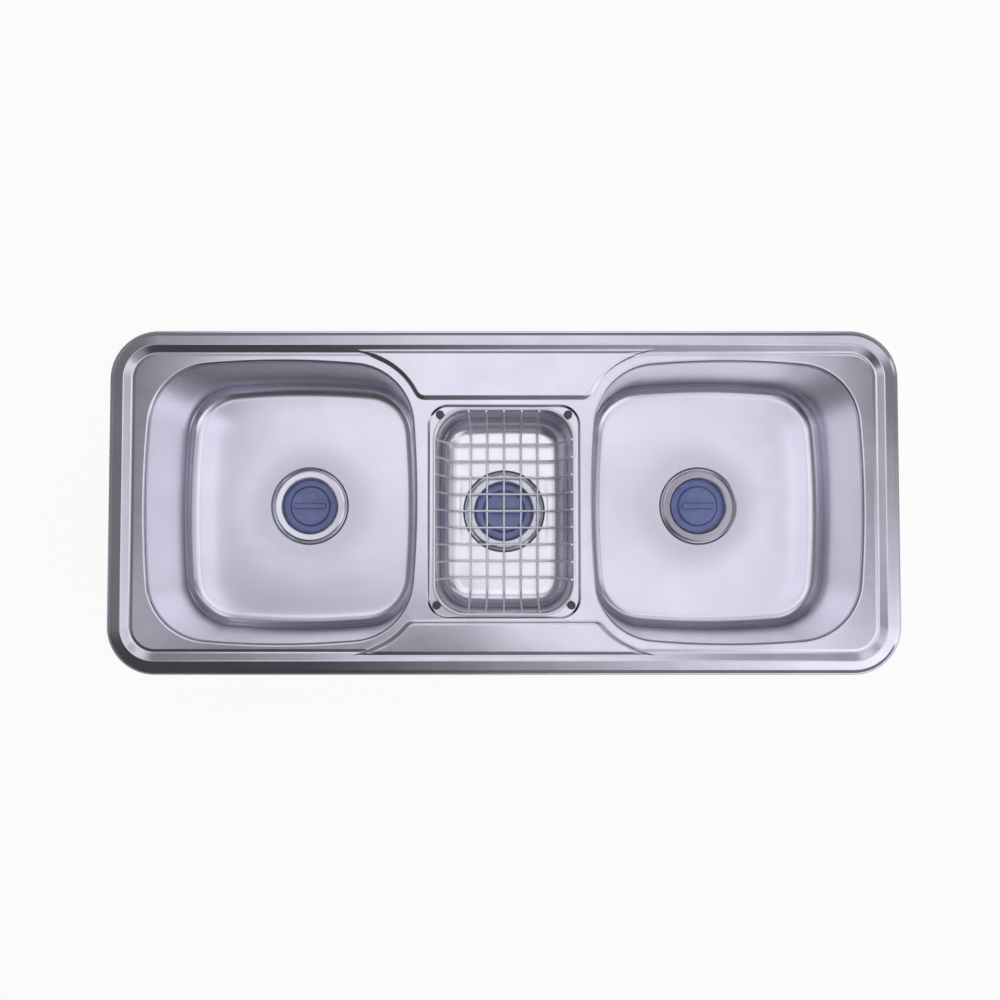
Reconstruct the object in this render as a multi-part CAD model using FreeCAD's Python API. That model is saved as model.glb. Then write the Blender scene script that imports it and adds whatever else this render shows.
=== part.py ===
import FreeCAD, Part
import math
import os

Vector = FreeCAD.Vector

# A pressed stainless steel sink that hangs by its rim in a worktop. Lengths in millimetres.
# Origin: the sink's centre in the plane of the worktop. +X right, +Y to the back, +Z up.

# Whole sink
sink_length = 1150.0
sink_width = 500.0
sink_corner_radius = 70.0
sheet = 1.0
running_gap = 0.3
overrun = 5.0
across_x = Vector(1, 0, 0)
across_y = Vector(0, 1, 0)

# Rim: a flat land, a steep edge to the shoulder, a bevel up to the ridge and a slope down to
# the deck, measured inwards
land_width = 2.5
shoulder_inward = 6.5
shoulder_height = 3.6
shoulder_round = 6.0
ridge_inward = 20.0
ridge_height = 7.0
foot_inward = 33.0
deck_height = 2.0
ridge_round = 5.0
foot_round = 8.0
rim_band = foot_inward + foot_round - sheet
die_depth = 25.0

# Rails welded under the deck between the rim's foot and the bowls, measured inwards
rail_foot_gap = 2.5
rail_web = foot_inward + rail_foot_gap
rail_thick = 1.5
rail_weld_width = 4.7
rail_lip_gap = 0.4
rail_drop = 15.0

# Ledge recessed round the small bowl, which carries the basket
ledge_width = 7.2
ledge_corner_radius = 30.0
ledge_drop = 2.5
ledge_run = 2.5

# Raised ledges behind and in front of the small bowl, with a valley between them and the rim
plateau_rise = 3.5
plateau_run = 8.0
plateau_clear = 13.0
plateau_corner_radius = 18.0
plateau_tail_share = 0.98
plateau_valley = 26.0
rear_plateau_depth = 100.5
front_plateau_depth = 79.5
rear_plateau_gap = 8.3
front_plateau_gap = 1.8
rear_plateau_y = sink_width / 2 - rear_plateau_depth
front_plateau_y = sink_width / 2 - front_plateau_depth
# How a pressed step rises over its run, as shares of the run and of the rise
step_run_shares = [0, 0.24, 0.76, 1]
step_rise_shares = [0, 0.12, 0.88, 1]

# Small bowl, between the raised ledges
small_half_x = 100.3
small_rear_y = rear_plateau_y - rear_plateau_gap - ledge_width
small_front_y = front_plateau_y - front_plateau_gap - ledge_width
small_half_y = (small_rear_y + small_front_y) / 2
small_centre_y = (small_rear_y - small_front_y) / 2
small_corner_radius = 48.0
small_bow = 1.0
small_depth = 95.0
small_draft = 5.0
small_floor_round = 20.0
small_waste_back = 2.75
small_lip_round = 3.5

# Large bowls, mirrored about the sink's middle, which fill the space that is left
lip_round = 4.0
bowl_end_gap = 8.4
divider_flat = 17.5
bowl_edge_margin = rail_web + rail_weld_width + rail_lip_gap + lip_round
divider = ledge_width + divider_flat + lip_round
bowl_half_x = (sink_length / 2 - bowl_edge_margin - bowl_end_gap - divider - small_half_x) / 2
bowl_half_y = sink_width / 2 - bowl_edge_margin
bowl_centre_x = small_half_x + divider + bowl_half_x
bowl_corner_radius = 90.0
bowl_bow = 4.5
bowl_depth = 180.0
bowl_draft = 9.0
bowl_floor_round = 22.0
bowl_waste_inward = 9.5
collar_depth = 8.0
collar_seam = 0.5
floor_margin = 6.0

# Strainer cup in each bowl, heights from the seat that is pressed round its hole
cup_mouth = 44.0
cup_wall = 1.0
cup_straight = 6.0
cup_seat_width = 5.0
cup_taper = 3.0
cup_waist = cup_mouth - cup_seat_width
cup_bottom = cup_waist - cup_taper
cup_depth = 32.0
cup_clear = 1.0
waste_hole = cup_mouth + cup_wall + cup_clear
flange_radius = 58.0
flange_lift = 1.6
flange_crown_inner = 2.0
flange_crown_outer = 3.0
flange_edge = 0.5
flange_clear = 2.5
seat_depth = 3.0
seat_radius = flange_radius + flange_clear
seat_slope = 3.0
hub_radius = 9.0
hub_foot = 11.0
hub_rise = 6.0
strainer_holes = 8
strainer_hole_radius = 4.0
strainer_hole_circle = (hub_foot + cup_bottom) / 2
gasket_clear = 1.0
gasket_inset = 1.0
gasket_inner = waste_hole + gasket_clear
flange_gasket_outer = flange_radius - gasket_inset
flange_gasket_thick = 1.0
body_gasket_thick = 3.0

# Outlet body under each bowl
chamber_step = 0.5
outlet_wall = 2.5
outlet_chamber = gasket_inner + chamber_step + outlet_wall
outlet_flange_width = 7.0
outlet_flange = outlet_chamber + outlet_flange_width
outlet_flange_thick = 4.0
body_gasket_outer = outlet_flange - gasket_inset
chamber_clear = 13.0
outlet_cone = 12.0
outlet_radius = 23.9
outlet_spigot_wall = 3.9
outlet_bore = outlet_radius - outlet_spigot_wall
outlet_length = 24.0
boss_radius = 7.0
boss_gap = 1.5
boss_length = 16.0
spider_arms = 3
spider_thick = 3.0
spider_height = 9.0
grip_ribs = 8
grip_rib_thick = 3.0
grip_rib_out = 3.0
waste_screw_radius = 3.0
waste_screw_short = 0.5
waste_screw_length = hub_rise + cup_wall + boss_gap + boss_length - waste_screw_short
waste_screw_head = 6.0
waste_screw_head_height = 3.5
waste_screw_head_bevel = 1.5
waste_screw_clear = 0.2
thread_clear = 0.05
slot_width = 1.4
slot_depth = 1.6

# Plug
plug_edge_gap = 0.4
plug_lip = 1.4
plug_lip_height = 0.8
plug_ring_sink = 5.5
plug_ring_width = 9.0
plug_top_sink = 1.0
plug_wall = 2.0
plug_slope = 3.0
plug_edge_chamfer = 1.8
plug_edge = cup_mouth - plug_edge_gap
plug_ring_outer = plug_edge - plug_lip
plug_ring_inner = plug_ring_outer - plug_ring_width
plug_disc = plug_ring_inner - plug_slope
seal_height = 3.0
seal_lap = 3.0
seal_inner = cup_waist - seal_lap
stem_radius = 6.0
grip_end_gap = 4.2
grip_length = 2 * (plug_disc - grip_end_gap)
grip_width = 9.0
grip_height = 6.0
grip_round = 2.0
grip_end_round = 3.5

# Basket
basket_inset = 6.0
basket_corner_radius = 45.0
frame_wire = 2.0
basket_wire = 1.5
frame_above_ledge = 4.0
basket_floor_gap = 15.5
basket_depth = small_depth - basket_floor_gap
basket_lean_angle = 14.0
basket_bend = 16.0
basket_long_count = 5
basket_long_end_gap = 5.1
basket_cross_count = 9
basket_cross_end_gap = 2.35
foot_radius = 6.0
foot_height = 8.5
foot_chamfer = 2.0
foot_top_chamfer = 1.2
foot_bite = 1.0
foot_angles = [45.0, 45.0, 38.0, 38.0]

# Fixings under the rim, places measured inwards from the rim's edge
seal_strip_gap = 1.5
seal_strip_width = 9.0
seal_strip_start = shoulder_inward + seal_strip_gap
seal_strip_end = seal_strip_start + seal_strip_width
nut_half = 5.0
nut_thick = 4.0
nut_edge_gap = 3.0
clip_web_gap = 11.5
clip_inward = rail_web - clip_web_gap
rail_shelf_edge = clip_inward - nut_half - nut_edge_gap
long_rail_end_gap = 135.0
end_rail_end_gap = 120.0
clip_end_gap = 140.0
long_rail_half = sink_length / 2 - long_rail_end_gap
end_rail_half = sink_width / 2 - end_rail_end_gap
long_clip_pitch = long_rail_half - clip_end_gap
clip_screw_radius = 2.5
clip_screw_play = 0.5
clip_screw_hole = clip_screw_radius + clip_screw_play
clip_screw_length = 51.0
clip_screw_grip = 3.5
clip_head_radius = 5.0
clip_head_height = 4.0
claw_half = 8.0
claw_thick = 2.5
claw_overreach = 4.0
claw_reach = clip_inward + claw_overreach
claw_lip_height = 20.0
claw_teeth = 4
claw_tooth_height = 3.0

# Damping pads, kept off the floor's rounded edge and the waste seat
pad_edge_clear = 15.5
pad_half_x = bowl_half_x - bowl_draft - bowl_floor_round - pad_edge_clear
pad_half_y = bowl_half_y - bowl_draft - bowl_floor_round - pad_edge_clear
pad_corner_radius = 25.0
pad_thick = 2.5
pad_hole_clear = 10.5
pad_hole = seat_radius + seat_slope + sheet + pad_hole_clear


def save(shape, node):
    shape.exportStep("parts/" + node + ".step")
    print(node, "solids", len(shape.Solids), "valid", shape.isValid(), "volume", round(shape.Volume, 1))


def rounded_wire(points, radii, closed=True):
    """Straight runs between points, each corner rounded with its radius."""
    count = len(points)
    firsts = []
    lasts = []
    arcs = []
    for i, corner in enumerate(points):
        at_end = not closed and i in (0, count - 1)
        if at_end or radii[i] == 0:
            firsts.append(corner)
            lasts.append(corner)
            arcs.append(None)
            continue
        back = (points[i - 1] - corner).normalize()
        ahead = (points[(i + 1) % count] - corner).normalize()
        half_angle = back.getAngle(ahead) / 2
        reach = radii[i] / math.tan(half_angle)
        bulge = radii[i] / math.sin(half_angle) - radii[i]
        first = corner + back * reach
        last = corner + ahead * reach
        middle = corner + (back + ahead).normalize() * bulge
        firsts.append(first)
        lasts.append(last)
        arcs.append(Part.Arc(first, middle, last).toShape())
    edges = []
    for i in range(count):
        if arcs[i]:
            edges.append(arcs[i])
        if closed or i < count - 1:
            edges.append(Part.makeLine(lasts[i], firsts[(i + 1) % count]))
    return Part.Wire(edges)


def rounded_rectangle(half_x, half_y, radius, x=0.0, y=0.0, z=0.0):
    corners = [(1, 1), (-1, 1), (-1, -1), (1, -1)]
    points = [Vector(x + a * half_x, y + b * half_y, z) for a, b in corners]
    return rounded_wire(points, [radius] * 4)


def prism(wire, height):
    return Part.Face(wire).extrude(Vector(0, 0, height))


def turned(points, radii=None):
    """A solid of revolution about the Z axis from its section, points as (radius, height)."""
    places = [Vector(r, 0, z) for r, z in points]
    section = rounded_wire(places, radii or [0] * len(points))
    return Part.Face(section).revolve(Vector(0, 0, 0), Vector(0, 0, 1), 360)


def rod(path, radius):
    """A round wire bent along a path."""
    start = path.Edges[0]
    point = start.valueAt(start.FirstParameter)
    direction = start.tangentAt(start.FirstParameter)
    section = Part.Wire(Part.makeCircle(radius, point, direction))
    return Part.Wire(path.Edges).makePipeShell([section], True, False)


def moved(shape, x=0.0, y=0.0, z=0.0):
    copy = shape.copy()
    copy.translate(Vector(x, y, z))
    return copy


def mirrored(shape, normal):
    return shape.mirror(Vector(0, 0, 0), normal)


class Outline:
    """A rounded rectangle whose sides bow outwards: eight arcs, each tangent to the next."""

    def __init__(self, half_x, half_y, corner, bow, x, y):
        self.half = (half_x, half_y)
        self.corner = corner
        self.x = x
        self.y = y
        run_y = half_y - corner
        run_x = half_x - corner
        self.side_x = (run_y ** 2 + bow ** 2) / (2 * bow)
        self.side_y = (run_x ** 2 + bow ** 2) / (2 * bow)
        # The corner's centre lies on two circles about the centres of the side arcs
        a = Vector(half_x - self.side_x, 0, 0)
        b = Vector(0, half_y - self.side_y, 0)
        apart = (b - a).Length
        along = ((self.side_x - corner) ** 2 - (self.side_y - corner) ** 2 + apart ** 2) / (2 * apart)
        across = math.sqrt((self.side_x - corner) ** 2 - along ** 2)
        unit = (b - a).normalize()
        self.corner_centre = a + unit * along + Vector(-unit.y, unit.x, 0) * across
        self.centre_a = a
        self.centre_b = b

    def wire(self, inset, z):
        half_x = self.half[0] - inset
        half_y = self.half[1] - inset
        centre = self.corner_centre
        to_side = (centre - self.centre_a).normalize()
        to_end = (centre - self.centre_b).normalize()
        radius = self.corner - inset
        side = centre + to_side * radius
        end = centre + to_end * radius
        middle = centre + (to_side + to_end).normalize() * radius

        def place(point, sign_x, sign_y):
            return Vector(self.x + sign_x * point.x, self.y + sign_y * point.y, z)

        def arc(first, through, last):
            return Part.Arc(first, through, last).toShape()

        right = Vector(half_x, 0, 0)
        back = Vector(0, half_y, 0)
        between = (side + right - self.centre_a * 2).normalize()
        flank = self.centre_a + between * (self.side_x - inset)
        edges = [arc(place(right, 1, 1), place(flank, 1, 1), place(side, 1, 1)),
                 arc(place(side, 1, 1), place(middle, 1, 1), place(end, 1, 1)),
                 arc(place(end, 1, 1), place(back, 1, 1), place(end, -1, 1)),
                 arc(place(end, -1, 1), place(middle, -1, 1), place(side, -1, 1)),
                 arc(place(side, -1, 1), place(right, -1, 1), place(side, -1, -1)),
                 arc(place(side, -1, -1), place(middle, -1, -1), place(end, -1, -1)),
                 arc(place(end, -1, -1), place(back, 1, -1), place(end, 1, -1)),
                 arc(place(end, 1, -1), place(middle, 1, -1), place(side, 1, -1)),
                 arc(place(side, 1, -1), place(flank, 1, -1), place(right, 1, 1))]
        return Part.Wire(edges)

    def carried(self, points, radii):
        """A section carried round the outline, points as (distance inwards, height)."""
        places = [Vector(self.x + self.half[0] - inset, self.y, z) for inset, z in points]
        return self.wire(0, points[0][1]).makePipeShell([rounded_wire(places, radii)], True, False)


left_lip = Outline(bowl_half_x, bowl_half_y, bowl_corner_radius, bowl_bow, -bowl_centre_x, 0.0)
small_lip = Outline(small_half_x, small_half_y, small_corner_radius, small_bow, 0.0, small_centre_y)

deck_under = deck_height - sheet
ledge_height = deck_height - ledge_drop
ledge_under = ledge_height - sheet
bowl_floor = deck_height - bowl_depth
small_floor = deck_height - small_depth
bowl_waste = Vector(-bowl_centre_x + bowl_waste_inward, 0.0, bowl_floor - seat_depth)
small_waste = Vector(0.0, small_centre_y + small_waste_back, small_floor - seat_depth)


def stepped(outline, low, rise):
    """A pressed step: outline(inset) rises by a soft S from height low."""
    sections = []
    for run_share, rise_share in zip(step_run_shares, step_rise_shares):
        sections.append(outline(run_share, low + rise * rise_share))
    return Part.makeLoft(sections, True, True)


def rim_path():
    half_x = sink_length / 2
    half_y = sink_width / 2
    points = [Vector(half_x, 0, 0), Vector(half_x, half_y, 0), Vector(-half_x, half_y, 0),
              Vector(-half_x, -half_y, 0), Vector(half_x, -half_y, 0)]
    return rounded_wire(points, [0] + [sink_corner_radius] * len(points[1:]))


def along_rim(points, radii):
    """A section carried round the rim, points as (distance inwards, height)."""
    places = [Vector(sink_length / 2 - inward, 0, z) for inward, z in points]
    section = rounded_wire(places, radii)
    return rim_path().makePipeShell([section], True, False)


def plateau_wire(front, run_share, z):
    """The outline of a raised ledge, between the corners of the large bowls and the rim."""
    inset = plateau_run * run_share
    start = left_lip.corner_centre
    centre = Vector(left_lip.x + start.x, start.y, 0)
    side_radius = bowl_corner_radius + plateau_clear + inset
    edge_y = front + inset
    round_radius = plateau_corner_radius - inset
    round_y = edge_y + round_radius
    round_x = centre.x + math.sqrt((side_radius + round_radius) ** 2 - (round_y - centre.y) ** 2)
    rounding = Vector(round_x, round_y, 0)
    toward = (rounding - centre).normalize()
    on_side = centre + toward * side_radius
    on_front = Vector(round_x, edge_y, 0)
    top_reach = sink_width / 2 - plateau_valley - plateau_run - centre.y
    tail = plateau_tail_share * math.asin(top_reach / (bowl_corner_radius + plateau_clear + plateau_run))
    tail_start = centre + Vector(math.cos(tail), math.sin(tail), 0) * side_radius
    tail_y = sink_width / 2 - plateau_valley - inset
    tail_x = tail_start.x - (tail_y - tail_start.y) * math.tan(tail)
    tail_end = Vector(tail_x, tail_y, 0)
    side_middle_angle = (tail + math.atan2(toward.y, toward.x)) / 2
    side_middle = centre + Vector(math.cos(side_middle_angle), math.sin(side_middle_angle), 0) * side_radius
    round_middle = rounding + ((centre - rounding).normalize() - across_y).normalize() * round_radius

    def lifted(point):
        return Vector(point.x, point.y, z)

    def across(point):
        return Vector(-point.x, point.y, z)

    edges = [Part.makeLine(lifted(tail_end), lifted(tail_start)),
             Part.Arc(lifted(tail_start), lifted(side_middle), lifted(on_side)).toShape(),
             Part.Arc(lifted(on_side), lifted(round_middle), lifted(on_front)).toShape(),
             Part.makeLine(lifted(on_front), across(on_front)),
             Part.Arc(across(on_front), across(round_middle), across(on_side)).toShape(),
             Part.Arc(across(on_side), across(side_middle), across(tail_start)).toShape(),
             Part.makeLine(across(tail_start), across(tail_end)),
             Part.makeLine(across(tail_end), lifted(tail_end))]
    return Part.Wire(edges)


def plateau(front):
    base = prism(plateau_wire(front, 0, -sheet), deck_height + sheet)
    top = stepped(lambda share, z: plateau_wire(front, share, z), deck_height, plateau_rise)
    return base.fuse(top)


def ledge_wire(run_share, z):
    inset = ledge_run * run_share
    half_x = small_half_x + ledge_width - inset
    half_y = small_half_y + ledge_width - inset
    return rounded_rectangle(half_x, half_y, ledge_corner_radius - inset, 0.0, small_centre_y, z)


def die():
    """The full body under the deck's top surface. The sheet is the skin that lies on it."""
    points = [(0, -die_depth), (0, sheet), (land_width, sheet), (shoulder_inward, shoulder_height),
              (ridge_inward, ridge_height), (foot_inward, deck_height), (rim_band, deck_height),
              (rim_band, -die_depth)]
    body = along_rim(points, [0, 0, 0, shoulder_round, ridge_round, foot_round, 0, 0])
    half_x = sink_length / 2 - rim_band
    half_y = sink_width / 2 - rim_band
    slab = prism(rounded_rectangle(half_x, half_y, sink_corner_radius - rim_band, 0, 0, -die_depth),
                 die_depth + deck_height)
    body = body.fuse(slab)
    body = body.fuse(plateau(rear_plateau_y))
    body = body.fuse(mirrored(plateau(front_plateau_y), across_y))
    pocket = stepped(ledge_wire, deck_height, -ledge_drop)
    return body.cut(pocket).removeSplitter()


def collar(lip, top, rounding):
    """The sheet's edge turned down round an opening."""
    outward = -rounding - collar_seam
    under = top - sheet
    low = under - collar_depth
    return lip.carried([(outward, top), (0, top), (0, low), (-sheet, low), (-sheet, under), (outward, under)],
                       [0, rounding, 0, 0, rounding - sheet, 0])


def opening(lip, top, rounding):
    return prism(lip.wire(-rounding - collar_seam, top - overrun), 2 * overrun)


def deck():
    body = die()
    skin = body.cut(moved(body, z=-sheet))
    large = (left_lip, deck_height, lip_round)
    small = (small_lip, ledge_height, small_lip_round)
    holes = [opening(*large), mirrored(opening(*large), across_x), opening(*small)]
    collars = [collar(*large), mirrored(collar(*large), across_x), collar(*small)]
    return skin.cut(holes).fuse(collars).removeSplitter()


def bowl(lip, top, floor, draft, rounding, waste):
    """Walls and floor edge carried round the lip, then the floor with its waste seat."""
    under = floor - sheet
    floor_start = draft + rounding + floor_margin
    walls = lip.carried([(0, top), (draft, floor), (floor_start, floor), (floor_start, under),
                         (draft - sheet, under), (-sheet, top)], [0, rounding, 0, 0, rounding + sheet, 0])
    plate = prism(lip.wire(floor_start, under), sheet)
    outer = Part.makeCone(seat_radius + sheet, seat_radius + seat_slope + sheet, seat_depth,
                          Vector(waste.x, waste.y, waste.z - sheet))
    inner = Part.makeCone(seat_radius, seat_radius + seat_slope, seat_depth, waste)
    hole = Part.makeCylinder(waste_hole, 2 * overrun, waste - Vector(0, 0, overrun))
    return walls.fuse(plate).fuse(outer).cut(inner).cut(hole).removeSplitter()


def ring(inner, outer, low, thick):
    return turned([(inner, low), (outer, low), (outer, low + thick), (inner, low + thick)])


def strainer():
    """Flange and cup in one pressing, heights from the seat in the bowl."""
    under = flange_gasket_thick
    crown = under + flange_lift
    inner = [(waste_screw_radius + waste_screw_clear, hub_rise - cup_depth),
             (hub_radius, hub_rise - cup_depth), (hub_foot, -cup_depth), (cup_bottom, -cup_depth),
             (cup_waist, cup_waist - cup_mouth - cup_straight), (cup_mouth, -cup_straight),
             (cup_mouth, crown - cup_wall), (cup_mouth + flange_crown_inner, crown)]
    rim = [(flange_radius - flange_crown_outer, crown), (flange_radius, under + flange_edge),
           (flange_radius, under)]
    outer = [(cup_mouth + cup_wall, under), (cup_mouth + cup_wall, -cup_straight - cup_wall / 2),
             (cup_waist + cup_wall, cup_waist - cup_mouth - cup_straight - cup_wall / 2),
             (cup_bottom + cup_wall, -cup_depth - cup_wall), (hub_foot - cup_wall, -cup_depth - cup_wall),
             (hub_radius - cup_wall, hub_rise - cup_depth - cup_wall),
             (waste_screw_radius + waste_screw_clear, hub_rise - cup_depth - cup_wall)]
    body = turned(inner + rim + outer)
    for i in range(strainer_holes):
        angle = 2 * math.pi * i / strainer_holes
        place = Vector(math.cos(angle), math.sin(angle), 0) * strainer_hole_circle
        place.z = -cup_depth - overrun
        body = body.cut(Part.makeCylinder(strainer_hole_radius, 2 * overrun, place))
    return body


def outlet_levels():
    top = -sheet - body_gasket_thick
    chamber = -cup_depth - cup_wall - chamber_clear
    spigot = chamber - outlet_cone
    return top, chamber, spigot, spigot - outlet_length


def outlet_body():
    """The chamber under the seat, down to the flat neck that carries the tail."""
    top, chamber, spigot, end = outlet_levels()
    inner_chamber = outlet_chamber - outlet_wall
    cavity = [(0, top), (inner_chamber, top), (inner_chamber, chamber), (outlet_bore, spigot), (0, spigot)]
    outside = [(0, top), (outlet_flange, top), (outlet_flange, top - outlet_flange_thick),
               (outlet_chamber, top - outlet_flange_thick), (outlet_chamber, chamber - outlet_wall),
               (outlet_radius + outlet_wall, spigot), (0, spigot)]
    inside = turned(cavity)
    body = turned(outside)
    for i in range(grip_ribs):
        rib = Part.makeBox(outlet_wall + grip_rib_out, grip_rib_thick, top - outlet_flange_thick - chamber,
                           Vector(inner_chamber, -grip_rib_thick / 2, chamber))
        rib.rotate(Vector(0, 0, 0), Vector(0, 0, 1), 360 * i / grip_ribs)
        body = body.fuse(rib)
    body = body.cut(inside)
    boss_top = -cup_depth - cup_wall - boss_gap
    spider = Part.makeCylinder(boss_radius, boss_length, Vector(0, 0, boss_top - boss_length))
    for i in range(spider_arms):
        arm = Part.makeBox(outlet_chamber, spider_thick, spider_height,
                           Vector(0, -spider_thick / 2, boss_top - spider_height - boss_gap))
        arm.rotate(Vector(0, 0, 0), Vector(0, 0, 1), 360 * i / spider_arms)
        spider = spider.fuse(arm.common(inside))
    thread = Part.makeCylinder(waste_screw_radius + thread_clear, boss_length + 2 * overrun,
                               Vector(0, 0, boss_top - boss_length - overrun))
    return body.fuse(spider).cut(thread).removeSplitter()


def outlet_tail():
    """The pipe end, hot-plate welded to the chamber's neck."""
    top, chamber, spigot, end = outlet_levels()
    return ring(outlet_bore, outlet_radius, end, outlet_length)


def slotted(head, top, radius):
    slot = Part.makeBox(2 * radius + 2 * overrun, slot_width, slot_depth + overrun,
                        Vector(-radius - overrun, -slot_width / 2, top - slot_depth))
    return head.cut(slot)


def waste_screw():
    seat = hub_rise - cup_depth
    top = seat + waste_screw_head_height
    head = turned([(0, seat), (waste_screw_head, seat), (waste_screw_head, top - waste_screw_head_bevel),
                   (waste_screw_head - waste_screw_head_bevel, top), (0, top)])
    shank = Part.makeCylinder(waste_screw_radius, waste_screw_length, Vector(0, 0, seat - waste_screw_length))
    return slotted(head, top, waste_screw_head).fuse(shank).removeSplitter()


def plug():
    under = -plug_ring_sink - plug_wall
    disc_under = -plug_top_sink - plug_wall
    stem_end = hub_rise - cup_depth + waste_screw_head_height + running_gap
    top = [(0, -plug_top_sink), (plug_disc, -plug_top_sink), (plug_ring_inner, -plug_ring_sink),
           (plug_ring_outer, -plug_ring_sink), (plug_ring_outer, plug_lip_height),
           (plug_edge, plug_lip_height)]
    below = [(plug_edge, under + plug_edge_chamfer), (plug_edge - plug_edge_chamfer, under),
             (plug_ring_inner - plug_wall, under), (plug_disc - plug_wall, disc_under),
             (stem_radius, disc_under), (stem_radius, stem_end), (0, stem_end)]
    body = turned(top + below)
    bar_outline = rounded_rectangle(grip_length / 2, grip_width / 2, grip_end_round, z=disc_under)
    bar = prism(bar_outline, grip_height + plug_wall)
    crest = [edge for edge in bar.Edges if edge.BoundBox.ZMin > -plug_top_sink]
    return body.fuse(bar.makeFillet(grip_round, crest)).removeSplitter()


def plug_seal():
    top = -plug_ring_sink - plug_wall
    low = top - seal_height
    gap = running_gap * math.sqrt(2)
    at_top = cup_mouth + cup_straight + top - gap
    at_low = cup_mouth + cup_straight + low - gap
    return turned([(seal_inner, low), (at_low, low), (at_top, top), (seal_inner, top)])


def wastes():
    pieces = {"strainer": strainer(), "waste_screw": waste_screw(), "outlet_body": outlet_body(),
              "outlet_tail": outlet_tail(),
              "plug": plug(), "plug_seal": plug_seal(),
              "flange_gasket": ring(gasket_inner, flange_gasket_outer, 0.0, flange_gasket_thick),
              "body_gasket": ring(gasket_inner, body_gasket_outer, -sheet - body_gasket_thick,
                                  body_gasket_thick)}
    places = {"left": bowl_waste, "centre": small_waste,
              "right": Vector(-bowl_waste.x, bowl_waste.y, bowl_waste.z)}
    for side, place in places.items():
        for name, shape in pieces.items():
            save(moved(shape, place.x, place.y, place.z), side + "_" + name)


frame_half_x = small_half_x + ledge_width - basket_inset
frame_half_y = small_half_y + ledge_width - basket_inset
frame_level = ledge_height + frame_above_ledge


def basket_frame():
    points = [Vector(frame_half_x, small_centre_y, frame_level)]
    for a, b in [(1, 1), (-1, 1), (-1, -1), (1, -1)]:
        points.append(Vector(a * frame_half_x, small_centre_y + b * frame_half_y, frame_level))
    return rod(rounded_wire(points, [0] + [basket_corner_radius] * len(points[1:])), frame_wire)


def basket_profile(half, bottom):
    """A wire that comes down from the frame, runs along the bottom and goes up again."""
    lean = math.radians(basket_lean_angle)
    top = frame_level + frame_wire
    at_frame = half - (frame_wire + basket_wire) / math.cos(lean)
    at_top = at_frame + frame_wire * math.tan(lean)
    at_bottom = at_frame - (frame_level - bottom) * math.tan(lean)
    return [(-at_top, top), (-at_bottom, bottom), (at_bottom, bottom), (at_top, top)]


def basket_wires(half, bottom, count, pitch, place):
    wires = []
    for i in range(count):
        offset = (i - (count - 1) / 2) * pitch
        points = [place(along, offset, z) for along, z in basket_profile(half, bottom)]
        wires.append(rod(rounded_wire(points, [0, basket_bend, basket_bend, 0], False), basket_wire))
    return Part.makeCompound(wires)


def basket_long_wires():
    bottom = frame_level - basket_depth
    outermost = frame_half_x - basket_corner_radius - basket_long_end_gap
    pitch = 2 * outermost / (basket_long_count - 1)
    return basket_wires(frame_half_y, bottom, basket_long_count, pitch,
                        lambda along, offset, z: Vector(offset, small_centre_y + along, z))


def basket_cross_wires():
    bottom = frame_level - basket_depth + 2 * basket_wire
    outermost = frame_half_y - basket_corner_radius - basket_cross_end_gap
    pitch = 2 * outermost / (basket_cross_count - 1)
    return basket_wires(frame_half_x, bottom, basket_cross_count, pitch,
                        lambda along, offset, z: Vector(along, small_waste.y + offset, z))


def basket_feet():
    low = ledge_height + running_gap
    shoulder = foot_height - foot_top_chamfer
    foot = turned([(0, 0), (foot_radius - foot_chamfer, 0), (foot_radius, foot_chamfer),
                   (foot_radius, shoulder), (foot_radius - foot_top_chamfer, foot_height), (0, foot_height)])
    frame = basket_frame()
    feet = []
    reach = basket_corner_radius + frame_wire + foot_radius - foot_bite
    for (a, b), angle in zip([(1, 1), (-1, 1), (-1, -1), (1, -1)], foot_angles):
        turn = math.radians(angle)
        x = a * (frame_half_x - basket_corner_radius + reach * math.cos(turn))
        y = small_centre_y + b * (frame_half_y - basket_corner_radius + reach * math.sin(turn))
        feet.append(moved(foot, x, y, low).cut(frame))
    return Part.makeCompound(feet)


def seal_strip():
    slope = (ridge_height - shoulder_height) / (ridge_inward - shoulder_inward)
    under = shoulder_height - sheet
    rise_start = under + (seal_strip_start - shoulder_inward) * slope
    rise_end = under + (seal_strip_end - shoulder_inward) * slope
    points = [(seal_strip_start, 0), (seal_strip_end, 0), (seal_strip_end, rise_end),
              (seal_strip_start, rise_start)]
    return along_rim(points, [0] * len(points))


rail_low = deck_under - rail_drop
rail_shelf = rail_low + rail_thick


def rail(half_length, edge, clip_places):
    """A rail along the side that faces +Y, edge away from the sink's middle."""
    points = [(rail_web, deck_under), (rail_web + rail_weld_width, deck_under),
              (rail_web + rail_weld_width, deck_under - rail_thick),
              (rail_web + rail_thick, deck_under - rail_thick), (rail_web + rail_thick, rail_low),
              (rail_shelf_edge, rail_low), (rail_shelf_edge, rail_shelf), (rail_web, rail_shelf)]
    places = [Vector(-half_length, edge - inward, z) for inward, z in points]
    section = rounded_wire(places, [0] * len(places))
    body = Part.Face(section).extrude(Vector(2 * half_length, 0, 0))
    for x in clip_places:
        place = Vector(x, edge - clip_inward, rail_low - overrun)
        body = body.cut(Part.makeCylinder(clip_screw_hole, 2 * overrun, place))
    return body


def turned_about(shape, angle):
    copy = shape.copy()
    copy.rotate(Vector(0, 0, 0), Vector(0, 0, 1), angle)
    return copy


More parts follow.
